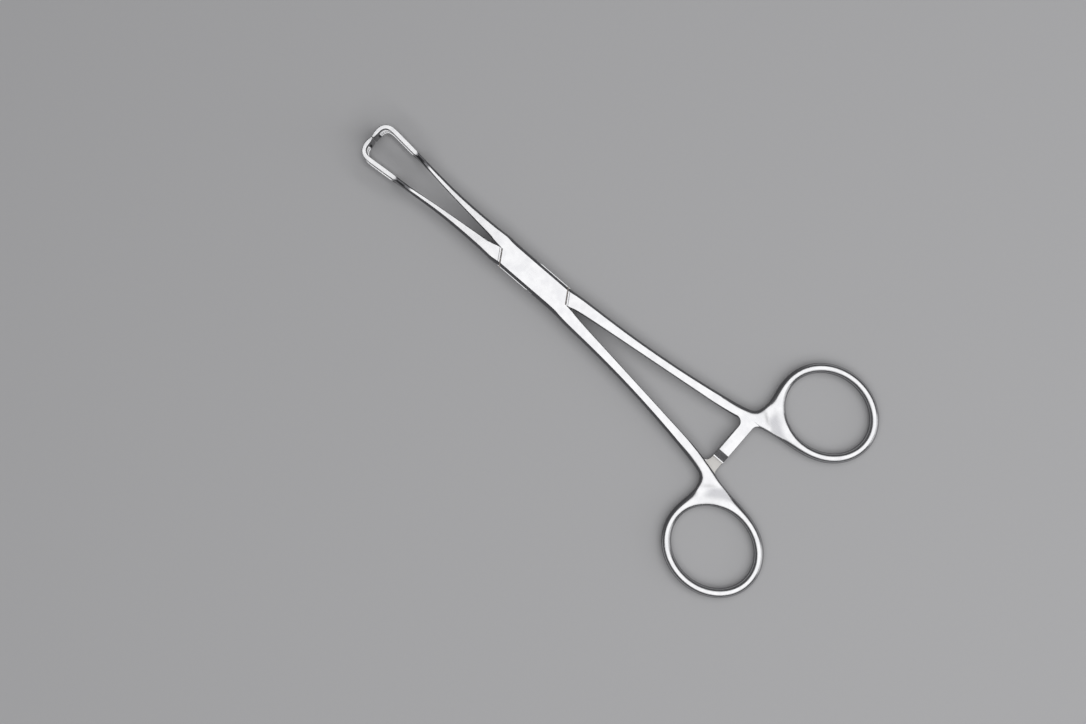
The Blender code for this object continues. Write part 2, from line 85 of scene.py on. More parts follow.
# Cage: lengths in millimetres; shares, slopes, powers and creases as plain numbers
LARGEST_ROUND = 0.4
SHANK_STATIONS = 6
ARM_STATIONS = 4
SHANK_OFFSET = 0.5
SHANK_ROOT_SLOPE = 0.08
SHANK_END_SLOPE = 0.155
ARM_OFFSET = 0.25
ARM_LINE = 0.55
ARM_WIDTH_POWER = 1.6
ARM_HEIGHT_POWER = 1.4
ROOT_DROP = 3.2
LOCK_FOOT = (0.3, 0.8)
LOCK_START = 0.6
LOCK_CHEEK = 2.4
LOCK_EXTRA_ROUND = 0.2
RAMP_MIDDLE = 0.5
PAST_RAMP = 1.4
BEFORE_BEND = 0.72
BEND_SECTIONS = 3
RAMP_FOOT_RISE = 0.7
RAMP_WALL_LOSS = 0.1
TIP_DROP = 0.35
JAW_ROUND = 0.2
LEAST_JAW_EDGE = 0.3
RING_EDGE = 0.42
RING_CROWN = 0.25
MOUTH_MIDDLE = 1.5
MOUTH_EDGE = 1.0
DISH_RIM = 0.95
DISH_MIDDLE = 0.72
SMOOTH_CREASE = 0.3
FIRM_CREASE = 0.8
BAR_CREASE = 0.75
WINDOW_CREASE = 0.7
JOINT_REACH = 5.5
JOINT_PASSES = 14
JOINT_EASE = 0.5

# Share of its half height to which each side of a section stands upright
SHANK_EDGES = (0.8, 0.5)
ARM_EDGES = (0.5, 0.8)
YOKE_EDGES = (0.65, 0.55)
LOCK_EDGES = (0.5, 0.5)

# Rows of the yoke: inner edge outwards and down, outer edge outwards and down, half height
YOKE_ROWS = ((2.95, 4.8, 3.5, 0.25, 1.95), (1.85, 1.95, 1.65, -0.65, 1.94),
             (1.1, -1.7, 0.95, -2.0, 1.9))

# Machining: lengths in millimetres, angles in degrees; PAST is how far tools run past the steel
PAST = 1.0
PAST_SIDE = 2.0
CUT_DEPTH = 3.0
CROTCH_SLOPE = 0.16
BOX_CROTCH_X = 0.1
SLOT_PLAY = 0.05
SLOT_FOOT_X = 0.35
SLOT_FOOT_DROP = 0.4
WAIST_STEPS = 24
WAIST_CROTCH = ((-0.15, -0.3), (0.6, 1.8))
WAIST_INSET = 0.6
PIN_PLAY = 0.05
BOX_BORE_PLAY = 0.004
BORE_SEGMENTS = 48
GROOVE_RISE = 0.013
GROOVE_DEPTH = 0.2
FINE_LINE_OFFSET = 0.62
FINE_LINE_WIDTH = 0.11
FINE_LINE_DEPTH = 0.07
FILLET_STEPS = 12
LOWER_ROOT = 8.7
LOWER_LEAN = 0.386
UPPER_ROOT = 7.99
UPPER_LEAN = 0.235
LOWER_TUCK = (1.0, 0.5)
UPPER_TUCK = 0.7
BAR_BEVEL = 0.12
NOSE_LAND = 0.3
TOOTH_COUNT = 3
TOOTH_START = 0.5
TOOTH_SHARE = 0.9
SHARP_ANGLE = 32.0
BAR_SHARP_ANGLE = 12.0
BAR_MARGINS = (0.5, 0.1)

# Ranges over which the steel's looks come in: in millimetres, in facing up or down, or in noise
# FLAT_FACING, SHOULDER_FACING and RING_LIFT set where the painted shade of the sides and rounded
# edges comes in, by how far they face up
FLAT_FACING = (0.93, 0.992)
SHOULDER_FACING = (0.58, 0.88)
RING_LIFT = 0.27
RING_RUN = 4.0
# The next three place the painted shade on the ramp where the arm rises into the jaw
RAMP_SHADE_BEGIN = (0.8, 2.4)
RAMP_SHADE_END = 1.15
RAMP_SHADE_SIDE = (0.3, 0.5)
# The next two place the painted shade in the dished web of the yokes
DISH_SHADE_HEIGHT = (1.25, 1.5)
DISH_SHADE_PLACE = (73.5, 76.0)
LAND_HEIGHT = (0.3, 0.5)
HAIRLINE_WIDTH = (0.1, 0.25)
HAIRLINE_SIDE = (2.0, 3.0)
PIN_FACE = (0.1, 0.02)
CLOUD_RANGE = (0.35, 0.7)
STREAK_RANGE = (0.5, 0.8)
WORN_RANGE = (0.52, 0.72)
SPECKLE_RANGE = (0.3, 0.5)

# Steel: scale, detail and roughness of each noise, then colours and how much each look adds
MOTTLE = (0.35, 3.0, 0.6)
FINE = (4.0, 3.0, 0.6)
GRAIN = (1.0, 3.0, 0.65)
GRAIN_STRETCH = (7.0, 0.3, 7.0)
CLOUD_TINT = (0.52, 0.52, 0.56)
STREAK_TINT = (0.95, 0.95, 0.96)
ON_SIDES = 0.03
CLOUD_ON_FLATS = 0.19
STREAK_ON_FLATS = 0.07
# The next share sets how strong the painted shade is on the jaw ramps
RAMP_SHADE_SHARE = 0.8
# The next share sets how strong the painted shade is in the yoke dishes
DISH_SHADE_SHARE = 0.7
RESIDUE_SHARE = 0.8
LAND_SHARE = 0.85
WORN_SHARE = 0.45
ROUGH_MOTTLE = 0.12
ROUGH_GRAIN = 0.10
ROUGH_LAND = 0.15
RELIEF_GRAIN = 0.7
RELIEF_FINE = 0.3
RELIEF_DEPTH = 0.02


def length(name, millimetres, description):
    """A length property: written in millimetres, kept in metres."""
    return FloatProperty(name=name, description=description, default=millimetres * MM,
                         min=0.0, precision=5, unit="LENGTH", subtype="DISTANCE")


def factor(name, value, description):
    """A share from 0 to 1."""
    return FloatProperty(name=name, description=description, default=value,
                         min=0.0, max=1.0, subtype="FACTOR")


def colour(name, value, description):
    """A colour property."""
    return FloatVectorProperty(name=name, description=description, default=value,
                               min=0.0, max=1.0, size=3, subtype="COLOR")


class ForcepsSizes(bpy.types.PropertyGroup):
    """Lengths of the forged halves."""
    jaw_reach: length("Jaw reach", 59.4, "From the hinge to the end of the jaws")
    ring_reach: length("Ring reach", 100.95, "From the hinge to the end of the finger rings")
    lock_width: length("Lock width", 8.2, "Width over the lock plates")
    lock_thickness: length("Lock thickness", 4.8, "Height over the lock plates")
    lock_crotch: length("Lock crotch", 11.6, "From the hinge to the crotch at a shoulder")
    shoulder_drop: length("Shoulder drop", 2.66, "How far a shoulder leans back over its width")
    shoulder_gap: length("Shoulder gap", 0.2, "Hairline between a shoulder and the other half")
    shoulder_bevel: length("Shoulder bevel", 0.14, "Broken edge along both sides of a shoulder")
    plate: length("Plate thickness", 1.35, "Thickness of one lock plate")
    slot_clearance: length("Slot clearance", 0.1, "Between a plate and the waist")
    web_face: length("Web face", 0.75, "Where a web's inner face stands beside the hinge")
    web_gap: length("Web gap", 0.15, "Between a web and the waist")
    pin_diameter: length("Pin diameter", 2.6, "Diameter of the hinge pin")
    shank_spread: length("Shank spread", 8.4, "Half the distance between the shanks at their ends")
    shank_root: length("Shank root", 4.1, "Width of a shank at the lock")
    shank_waist: length("Shank waist", 2.8, "Width of a shank at its middle")
    shank_tail: length("Shank tail", 3.55, "Width of a shank at its yoke")
    shank_height: length("Shank height", 3.8, "Thickness of a shank at its yoke")
    arm_spread: length("Arm spread", 3.95, "Half the distance between the arms at the jaws")
    arm_root: length("Arm root", 3.55, "Width of an arm at the lock")
    arm_tip: length("Arm tip", 1.55, "Width of an arm at the jaw")
    arm_height: length("Arm height", 2.7, "Thickness of an arm at the jaw")
    jaw_length: length("Jaw length", 19.4, "From the foot of a jaw to its end")
    jaw_half_width: length("Jaw half width", 6.05, "From the midline to the outside of a jaw")
    jaw_height: length("Jaw height", 9.0, "Height of the windowed jaw")
    jaw_wall: length("Jaw wall", 1.55, "Thickness of the jaw's rails")
    jaw_ramp: length("Jaw ramp", 6.0, "Length over which the arm rises into the jaw")
    jaw_bend: length("Jaw bend", 3.3, "Outside radius of the jaw's bend")
    rail: length("Rail height", 1.7, "Height of the rails over and under the window")
    tip_wall: length("Tip wall", 1.0, "Thickness of the jaw at its meeting face")
    tip_gap: length("Tip gap", 0.3, "Between the two meeting faces")
    hole_length: length("Hole length", 24.6, "Length of a finger ring's hole")
    hole_width: length("Hole width", 20.9, "Width of a finger ring's hole")
    ring_spacing: length("Ring spacing", 48.6, "Between the middles of the finger rings")
    ring_band: length("Ring band", 2.85, "Width of a finger ring's band in plan")
    ring_thickness: length("Ring thickness", 3.3, "Height of a finger ring's band")
    yoke_flare: length("Yoke flare", 2.5, "How far the ring swells outwards at its yoke")
    yoke_dish: length("Yoke dish", 1.2, "Half height of the dished web of the yoke")
    ratchet_y: length("Ratchet place", 71.2, "From the hinge to the middle of the ratchet bars")
    neck: length("Neck", 5.7, "From the ratchet bars to the foot of the shank")
    ratchet_width: length("Ratchet width", 3.4, "Width of a ratchet bar")
    ratchet_reach: length("Ratchet reach", 5.0, "How far a bar passes the midline")
    ratchet_root: length("Ratchet root", 1.9, "Radius of the fillets at a bar's root")
    ratchet_gap: length("Ratchet gap", 0.3, "Between the tooth crests of the two bars")
    ratchet_top: length("Ratchet top", 1.86, "Height of a bar's outer face over the middle")
    nose_length: length("Nose length", 2.35, "Length of the slope at the end of a bar")
    nose_height: length("Nose height", 0.75, "Height of the bar at its end")
    tooth_pitch: length("Tooth pitch", 1.3, "Distance between the ratchet teeth")
    tooth_depth: length("Tooth depth", 0.5, "Depth of the ratchet teeth")
    outer_round: length("Outer round", 0.75, "Width of the rounded outer side in plan")
    inner_round: length("Inner round", 0.22, "Width of the rounded inner side in plan")
    opening: FloatProperty(name="Opening", description="Angle at which the webs stop the waist",
                           default=radians(60.0), subtype="ANGLE", unit="ROTATION")
    ring_lean: FloatProperty(name="Ring lean", description="Turn of a finger ring in plan",
                             default=radians(2.7), subtype="ANGLE", unit="ROTATION")
    yoke_turn: FloatProperty(name="Yoke turn", description="Where the yoke joins its ring",
                             default=radians(139.3), subtype="ANGLE", unit="ROTATION")
    yoke_spread: FloatProperty(name="Yoke spread", description="Reach of the flare round the ring",
                               default=radians(26.4), subtype="ANGLE", unit="ROTATION")
    ring_stations: IntProperty(name="Ring stations", description="Sections round a finger ring",
                               default=24, min=12, max=64)
    fineness: IntProperty(name="Fineness", description="Subdivision of the forged surface",
                          default=3, min=1, max=4)


class ForcepsFinish(bpy.types.PropertyGroup):
    """Colours and textures of the steel, with painted shade on its sides, rounded edges and yoke
    dishes.
    """
    flat: colour("Ground flats", (0.80, 0.80, 0.81), "Colour of the ground upper and lower flats")
    # Painted shade: the steep sides take this dark colour in place of the dark surroundings they
    # reflect
    side: colour("Rounded sides", (0.14, 0.14, 0.147), "Colour of the steep sides")
    # Painted shade: the rounding into the flats takes this grey, between the flats and the dark
    # sides
    shoulder: colour("Rounded edges", (0.55, 0.55, 0.56), "Colour of the rounding into the flats")
    # Painted shade: the dished web of the yokes takes this grey, darker than the flats
    dish: colour("Yoke dish", (0.42, 0.42, 0.44), "Colour of the satin dish of the yokes")
    land: colour("Ratchet lands", (0.50, 0.485, 0.46), "Colour of the ground ratchet lands")
    residue: colour("Hairline residue", (0.17, 0.13, 0.10), "Warm film in the shoulder hairlines")
    flat_roughness: factor("Flat roughness", 0.26, "Roughness of the ground flats")
    side_roughness: factor("Side roughness", 0.2, "Roughness of the polished sides")
    grain: factor("Grain", 0.12, "Strength of the satin grain's relief")


class ForcepsStudio(bpy.types.PropertyGroup):
    """Floor, lamps and camera."""
    floor_colour: colour("Floor colour", (0.62, 0.62, 0.63), "Colour of the plain pale floor")
    world_colour: colour("Surroundings", (0.12, 0.12, 0.124), "Colour of the studio around")
    lamp_power: FloatProperty(name="Lamp power", description="Power of the overhead softbox",
                              default=5.95, min=0.0, unit="POWER")
    lamp_size: length("Lamp size", 1300.0, "Side of the overhead softbox")
    lamp_height: length("Lamp height", 800.0, "Height of the overhead softbox")
    side_power: FloatProperty(name="Side power", description="Power of the low soft lamp",
                              default=1.0, min=0.0, unit="POWER")


def in_millimetres(group):
    """The sizes as plain numbers: lengths in millimetres, angles and counts as they are."""
    values = {}
    for key in group.bl_rna.properties.keys():
        item = group.bl_rna.properties[key]
        if key in ("rna_type", "name"):
            continue
        value = getattr(group, key)
        values[key] = value / MM if item.unit == "LENGTH" else value
    return SimpleNamespace(**values)


# Place of the instrument on the table

def table_place():
    """Matrix from the instrument's millimetres to the table's metres."""
    return (Matrix.Translation(HINGE["pos_m"]) @ Matrix.Rotation(LEAN, 4, "X")
            @ Matrix.Scale(MM, 4))


def shank_end(s):
    """Distance of the shank's foot from the hinge."""
    return s.ratchet_y - s.neck


def arm_end(s):
    """Distance of the jaw's foot from the hinge."""
    return s.jaw_reach - s.jaw_length


def blend(start, end, share):
    """A value part of the way from start to end."""
    return start + (end - start) * share


# Sections of the forging

def section(left, right, height, rounds, edges):
    """Eight corners of a bar's cross-section, from its left and right edge points in plan."""
    left = Vector(left)
    right = Vector(right)
    across = right - left
    inset = [min(size, LARGEST_ROUND * across.length) / across.length for size in rounds]
    left_in = left + across * inset[0]
    right_in = right - across * inset[1]
    low = edges[0] * height
    high = edges[1] * height
    return [
        Vector((left.x, left.y, -low)), Vector((left.x, left.y, low)),
        Vector((left_in.x, left_in.y, height)), Vector((right_in.x, right_in.y, height)),
        Vector((right.x, right.y, high)), Vector((right.x, right.y, -high)),
        Vector((right_in.x, right_in.y, -height)), Vector((left_in.x, left_in.y, -height)),
    ]


def shank_sections(s):
    """Sections of the right-hand shank, from its yoke up to the lock; outer edge on the right."""
    root_y = s.lock_crotch + ROOT_DROP
    run = shank_end(s) - root_y
    root = Vector((s.lock_width / 4 + SHANK_OFFSET, -root_y))
    end = Vector((s.shank_spread, -shank_end(s)))
    root_handle = root + Vector((SHANK_ROOT_SLOPE, -1.0)) * (run / 3)
    end_handle = end - Vector((SHANK_END_SLOPE, -1.0)) * (run / 3)
    found = []
    for index in range(SHANK_STATIONS + 1):
        t = index / SHANK_STATIONS
        u = 1 - t
        centre = (end * u ** 3 + end_handle * (3 * u * u * t)
                  + root_handle * (3 * u * t * t) + root * t ** 3)
        width = blend(s.shank_tail, s.shank_root, t)
        width += (s.shank_waist - (s.shank_tail + s.shank_root) / 2) * 4 * t * u
        found.append(section(
            (centre.x - width / 2, centre.y), (centre.x + width / 2, centre.y),
            blend(s.shank_height, s.lock_thickness, t) / 2,
            (s.inner_round, s.outer_round), SHANK_EDGES))
    return found


def yoke_sections(s):
    """Sections between the finger ring and the right-hand shank."""
    inner = s.shank_spread - s.shank_tail / 2
    outer = s.shank_spread + s.shank_tail / 2
    found = []
    for in_x, in_drop, out_x, out_drop, height in YOKE_ROWS:
        found.append(section((inner + in_x, -s.ratchet_y - in_drop),
                             (outer + out_x, -s.ratchet_y - out_drop), height,
                             (s.inner_round, s.outer_round), YOKE_EDGES))
    return found


def lock_sections(s):
    """Sections through the lock, wide as the plates; the shoulders are cut from them later."""
    half = s.lock_width / 2
    cheek = s.lock_crotch - LOCK_CHEEK
    both = (s.outer_round + LOCK_EXTRA_ROUND,) * 2
    lower = [
        ((-LOCK_FOOT[0], -s.lock_crotch - LOCK_FOOT[1]), half + s.shoulder_gap,
         (s.inner_round, s.outer_round), SHANK_EDGES),
        ((-half, LOCK_START - s.lock_crotch), half + s.shoulder_gap / 2, both, LOCK_EDGES),
        ((-half, -cheek), half, both, LOCK_EDGES),
        ((-half, -cheek / 2), half, both, LOCK_EDGES),
    ]
    height = s.lock_thickness / 2
    found = [section(left, (right, left[1]), height, rounds, edges)
             for left, right, rounds, edges in lower]
    for left, right, rounds, edges in reversed(lower):
        found.append(section((-right, -left[1]), (-left[0], -left[1]), height,
                             rounds[::-1], edges[::-1]))
    return found


def arm_sections(s):
    """Sections of the left-hand arm, from the lock to the foot of its jaw."""
    found = []
    for index in range(ARM_STATIONS + 1):
        t = index / ARM_STATIONS
        y = blend(s.lock_crotch + ROOT_DROP, arm_end(s), t)
        x = blend(s.lock_width / 4 + ARM_OFFSET, s.arm_spread, blend(t ** 3, t, ARM_LINE))
        width = blend(s.arm_root, s.arm_tip, 1 - (1 - t) ** ARM_WIDTH_POWER)
        height = blend(s.lock_thickness, s.arm_height, 1 - (1 - t) ** ARM_HEIGHT_POWER) / 2
        found.append(section((-x - width / 2, y), (-x + width / 2, y), height,
                             (s.outer_round, s.inner_round), ARM_EDGES))
    return found


def jaw_path(s):
    """Plan points of the left-hand jaw's middle line with the direction across it."""
    radius = s.jaw_bend - s.jaw_wall / 2
    top_y = s.jaw_reach - s.jaw_wall / 2
    pivot = Vector((s.jaw_half_width - s.jaw_wall / 2 - radius, top_y - radius))
    start = Vector((s.arm_spread, arm_end(s)))
    away = pivot - start
    lean = atan2(away.x, away.y) + asin(radius / away.length)
    side = Vector((cos(lean), -sin(lean)))
    run = pivot + side * radius - start
    ramp = s.jaw_ramp / run.length
    shares = [RAMP_MIDDLE * ramp, ramp, PAST_RAMP * ramp, blend(ramp, 1.0, BEFORE_BEND), 1.0]
    points = [(start + run * share, side) for share in shares]
    for index in range(1, BEND_SECTIONS + 1):
        turn = -lean + (pi / 2 + lean) * index / BEND_SECTIONS
        out = Vector((cos(turn), sin(turn)))
        points.append((pivot + out * radius, out))
    for share in (0.5, 1.0):
        points.append((Vector((blend(pivot.x, s.tip_gap / 2, share), top_y)), Vector((0.0, 1.0))))
    return points


def jaw_sections(s):
    """Sections of the left-hand jaw."""
    half = s.jaw_height / 2
    points = jaw_path(s)
    full = len(points) - 2
    heights = [s.arm_height / 2 + RAMP_FOOT_RISE] + [half] * full + [half - TIP_DROP]
    walls = [s.arm_tip, s.jaw_wall - RAMP_WALL_LOSS] + [s.jaw_wall] * (full - 1) + [s.tip_wall]
    found = []
    for (point, side), height, wall in zip(points, heights, walls):
        share = max(height - s.rail, LEAST_JAW_EDGE * height) / height
        outer = point + side * (wall / 2)
        inner = point - side * (wall / 2)
        found.append(section((-outer.x, outer.y), (-inner.x, inner.y), height,
                             (JAW_ROUND, JAW_ROUND), (share, share)))
    return found


def ring_point(s, turn, offset):
    """Plan point of the right-hand finger ring, offset outwards from the edge of its hole."""
    across = s.hole_width / 2
    along = s.hole_length / 2
    centre = Vector((s.ring_spacing / 2, along + s.ring_band - s.ring_reach))
    point = Vector((across * cos(turn), along * sin(turn)))
    normal = Vector((along * cos(turn), across * sin(turn))).normalized()
    return centre + Matrix.Rotation(s.ring_lean, 2) @ (point + normal * offset)


def ring_section(s, index):
    """Cross-section of the finger ring at one station, inner edge first."""
    turn = s.yoke_turn + 2 * pi * (index - MOUTH_MIDDLE) / s.ring_stations
    away = abs((turn - s.yoke_turn + pi) % (2 * pi) - pi)
    flare = s.yoke_flare * exp(-(away / s.yoke_spread) ** 2)
    half = s.ring_thickness / 2
    edge = RING_EDGE * half
    mouth = {0: MOUTH_EDGE, 1: s.yoke_dish, 2: s.yoke_dish, 3: MOUTH_EDGE}
    outer_edge = mouth.get(index, edge)
    dish = {0: DISH_RIM, 1: DISH_MIDDLE, 2: DISH_MIDDLE, 3: DISH_RIM}.get(index, 1.0) * half
    crown = RING_CROWN * s.ring_band
    offsets = (0.0, crown, s.ring_band - crown + flare / 2, s.ring_band + flare)
    inner, inner_top, outer_top, outer = (ring_point(s, turn, offset) for offset in offsets)
    plan = [(inner, -edge), (inner, edge), (inner_top, half), (outer_top, dish),
            (outer, outer_edge), (outer, -outer_edge), (outer_top, -dish), (inner_top, -half)]
    return [Vector((point.x, point.y, z)) for point, z in plan]


# Growing the forging from its finger ring

def loop_edges(bm, loop):
    """The edges of a closed loop of corners."""
    return [bm.edges.get((loop[i - 1], loop[i])) for i in range(len(loop))]


def start_loop(bm, places):
    """A first loop of corners, moved into place."""
    loop = bmesh.ops.create_circle(bm, segments=len(places), radius=1.0)["verts"]
    for corner, place in zip(loop, places):
        corner.co = place
    return loop


def grow(bm, loop, places):
    """Extrudes a loop by one section and moves its new corners into place."""
    grown = bmesh.ops.extrude_edge_only(bm, edges=loop_edges(bm, loop))["geom"]
    fresh = {item for item in grown if isinstance(item, bmesh.types.BMVert)}
    found = []
    for corner, place in zip(loop, places):
        new = next(edge.other_vert(corner) for edge in corner.link_edges
                   if edge.other_vert(corner) in fresh)
        new.co = place
        found.append(new)
    return found


def crease_flats(bm, first, second, amount, layer):
    """Creases the four edges that bound the flats, between two neighbouring sections."""
    for corner in (2, 3, 6, 7):
        edge = bm.edges.get((first[corner], second[corner]))
        if edge:
            edge[layer] = amount


def grow_ring(bm, s, hand):
    """Finger ring with an open mouth for the yoke; returns the mouth's eight corners."""
    loops = [start_loop(bm, handed(ring_section(s, 0), hand))]
    for index in range(1, s.ring_stations):
        loops.append(grow(bm, loops[-1], handed(ring_section(s, index), hand)))
    last = grow(bm, loops[-1], handed(ring_section(s, 0), hand))
    bmesh.ops.weld_verts(bm, targetmap=dict(zip(last, loops[0])))
    open_faces = [face_between(loops[index], loops[index + 1], 4, 5) for index in range(3)]
    bmesh.ops.delete(bm, geom=open_faces, context="FACES")
    return [loops[3][5], loops[3][4], loops[2][4], loops[1][4],
            loops[0][4], loops[0][5], loops[1][5], loops[2][5]]


def face_between(first, second, low, high):
    """The quad of two neighbouring loops between two of their corners."""
    corners = {first[low], first[high], second[low], second[high]}
    return next(face for face in first[low].link_faces if set(face.verts) == corners)


def handed(places, hand):
    """The right-hand half's places, or their mirror image."""
    return [Vector((place.x * hand, place.y, place.z)) for place in places]


def open_window(bm, loops, layer):
    """Opens the jaw's window through both side faces and closes its walls by a bridge."""
    for low, high in zip(loops, loops[1:]):
        for corner in (0, 1, 4, 5):
            bm.edges.get((low[corner], high[corner]))[layer] = WINDOW_CREASE
    for end in (loops[0], loops[-1]):
        for pair in ((0, 1), (4, 5)):
            bm.edges.get((end[pair[0]], end[pair[1]]))[layer] = WINDOW_CREASE
    faces = [face_between(low, high, first, second)
             for low, high in zip(loops, loops[1:]) for first, second in ((0, 1), (4, 5))]
    bmesh.ops.delete(bm, geom=faces, context="FACES")
    rims = []
    for first, second in ((0, 1), (4, 5)):
        around = [loop[first] for loop in loops] + [loop[second] for loop in reversed(loops)]
        rims += loop_edges(bm, around)
    bmesh.ops.bridge_loops(bm, edges=rims)


def forging(s, name, hand):
    """One whole half before machining: finger ring, yoke, shank, lock, arm and windowed jaw."""
    bm = bmesh.new()
    layer = bm.edges.layers.float.new("crease_edge")
    loop = grow_ring(bm, s, hand)
    parts = [(yoke_sections(s), 0.0), (shank_sections(s), BAR_CREASE), (lock_sections(s), 1.0),
             (arm_sections(s), BAR_CREASE)]
    amount = 0.0
    for places_list, own in parts:
        for places in places_list:
            new = grow(bm, loop, handed(places, hand))
            crease_flats(bm, loop, new, amount, layer)
            loop = new
            amount = own
    jaw = []
    for places in jaw_sections(s):
        new = grow(bm, loop, handed(places, hand))
        crease_flats(bm, loop, new, FIRM_CREASE if len(jaw) > 1 else SMOOTH_CREASE, layer)
        jaw.append(new)
        loop = new
    open_window(bm, jaw[1:-1], layer)
    for low, high in ((2, 3), (6, 7)):
        bm.edges.get((jaw[1][low], jaw[1][high]))[layer] = FIRM_CREASE
    cap = bmesh.ops.edgeloop_fill(bm, edges=loop_edges(bm, loop))["faces"][0]
    for edge in cap.edges:
        edge[layer] = 1.0
    bmesh.ops.recalc_face_normals(bm, faces=bm.faces)
    item = finish_mesh(bm, name)
    surface = item.modifiers.new("forged surface", "SUBSURF")
    surface.levels = s.fineness
    surface.render_levels = s.fineness
    return item


def smooth_joint(item, s, hand):
    """Evens the forged surface where the yoke runs into its finger ring."""
    middle = ring_point(s, s.yoke_turn, s.ring_band + s.yoke_flare)
    bm = bmesh.new()
    bm.from_mesh(item.data)
    near = [corner for corner in bm.verts
            if (Vector((corner.co.x * hand, corner.co.y)) - middle).length < JOINT_REACH]
    for _ in range(JOINT_PASSES):
        bmesh.ops.smooth_vert(bm, verts=near, factor=JOINT_EASE, use_axis_x=True, use_axis_y=True,
                              use_axis_z=True)
    bm.to_mesh(item.data)
    bm.free()


def finish_mesh(bm, name):
    """Turns a bmesh into an object in the scene."""
    mesh = bpy.data.meshes.new(name)
    bm.to_mesh(mesh)
    bm.free()
    item = bpy.data.objects.new(name, mesh)
    bpy.context.scene.collection.objects.link(item)
    return item


# Machining tools

def prism(name, outline, bottom, top, bevel=0.0):
    """Extrudes a plan outline between two heights, with its long edges broken if asked."""
    bm = bmesh.new()
    face = bm.faces.new([bm.verts.new((x, y, bottom)) for x, y in outline])
    grown = bmesh.ops.extrude_face_region(bm, geom=[face])["geom"]
    raised = [item for item in grown if isinstance(item, bmesh.types.BMVert)]
    bmesh.ops.translate(bm, verts=raised, vec=(0, 0, top - bottom))
    bmesh.ops.recalc_face_normals(bm, faces=bm.faces)
    if bevel:
        rim = [edge for edge in bm.edges if abs(edge.verts[0].co.z - edge.verts[1].co.z) < 0.001]
        bmesh.ops.bevel(bm, geom=rim, offset=bevel, segments=3, profile=0.5, affect="EDGES",
                        offset_type="OFFSET", material=-1)
    return finish_mesh(bm, name)


def rod(name, radius, bottom, top, segments):
    """A round rod about the hinge, between two heights."""
    bm = bmesh.new()
    bmesh.ops.create_cone(bm, cap_ends=True, segments=segments, radius1=radius, radius2=radius,
                          depth=top - bottom,
                          matrix=Matrix.Translation((0, 0, (top + bottom) / 2)))
    return finish_mesh(bm, name)


def groove_bar(name, start, end, width, depth):
    """A bar of diamond section, laid along the line that it grooves."""
    start = Vector(start)
    end = Vector(end)
    along = end - start
    bm = bmesh.new()
    bmesh.ops.create_cube(bm, size=1.0)
    bmesh.ops.rotate(bm, verts=bm.verts, matrix=Matrix.Rotation(pi / 4, 3, "Y"))
    bmesh.ops.scale(bm, vec=(width * 2 ** 0.5, along.length, depth * 2 ** 0.5), verts=bm.verts)
    bmesh.ops.transform(bm, verts=bm.verts, matrix=Matrix.Translation((start + end) / 2)
                        @ along.to_track_quat("Y", "Z").to_matrix().to_4x4())
    return finish_mesh(bm, name)


def cut(item, tool, operation="DIFFERENCE"):
    """Queues a tool for machine(): to be cut away, or joined on."""
    modifier = item.modifiers.new(tool.name, "BOOLEAN")
    modifier.operation = operation
    modifier.object = tool
    modifier.solver = "EXACT"


def machine(item):
    """Applies a piece's modifiers and takes its tools away."""
    tools = [modifier.object for modifier in item.modifiers if modifier.type == "BOOLEAN"]
    graph = bpy.context.evaluated_depsgraph_get()
    mesh = bpy.data.meshes.new_from_object(item.evaluated_get(graph))
    old = item.data
    item.modifiers.clear()
    item.data = mesh
    bpy.data.meshes.remove(old)
    mesh.name = item.name
    for tool in tools:
        shape = tool.data
        bpy.data.objects.remove(tool, do_unlink=True)
        bpy.data.meshes.remove(shape)


def turned(outline):
    """The same outline turned half a circle about the hinge."""
    return [(-x, -y) for x, y in outline]


def shoulder_line(s, gap):
    """Crotch and outer end of the lock's lower shoulder, for the shank on its right."""
    reach = s.lock_width / 2
    start = (-s.shoulder_gap, -s.lock_crotch - gap)
    end_x = reach + PAST_SIDE
    slope = s.shoulder_drop / (reach + s.shoulder_gap)
    return [start, (end_x, start[1] + slope * (end_x - start[0]))]


def box_trim(s):
    """Plan outline beyond the box half's lower shoulder, where the other shank begins."""
    crotch, outer = shoulder_line(s, 0.0)
    below = crotch[1] - CUT_DEPTH
    return [crotch, outer, (outer[0], below), (-BOX_CROTCH_X - CROTCH_SLOPE * CUT_DEPTH, below)]


def lock_space(s):
    """Plan outline of the room that the through half leaves for the box half's plates."""
    crotch, outer = shoulder_line(s, s.shoulder_gap)
    below = crotch[1] - CUT_DEPTH
    lower = [(-s.lock_width / 2 - PAST_SIDE, below), (CROTCH_SLOPE * CUT_DEPTH, below),
             crotch, outer]
    return lower + turned(lower)


def tangent_corner(s, gap, face_x):
    """Where a web's stop face, turned by the opening angle, meets the web's inner face."""
    turn = pi + s.opening
    return (-face_x, (s.lock_width / 2 + gap + face_x * cos(turn)) / sin(turn))


def slot_outline(s):
    """Plan outline of the slot: all of the lock but the two webs that join the plates."""
    side_x = s.lock_width / 2 + PAST_SIDE
    foot = (-SLOT_FOOT_X, -s.lock_crotch - SLOT_FOOT_DROP)
    lower = [tangent_corner(s, SLOT_PLAY, side_x), tangent_corner(s, SLOT_PLAY, s.web_face),
             foot, (side_x + PAST_SIDE, foot[1])]
    return lower + turned(lower)


def waist_outline(s):
    """Plan outline of the thinned waist that turns inside the slot."""
    hub = s.lock_width / 2
    last = pi + acos((s.web_face - s.web_gap) / hub)
    turns = [blend(pi, last, i / WAIST_STEPS) for i in range(WAIST_STEPS + 1)]
    lower = [(hub * cos(turn), hub * sin(turn)) for turn in turns]
    lower += [(x, -s.lock_crotch - drop) for x, drop in WAIST_CROTCH]
    lower += [(hub - WAIST_INSET, -s.lock_crotch - WAIST_INSET),
              (hub, -s.lock_crotch + s.shoulder_drop - WAIST_INSET)]
    return lower + turned(lower)


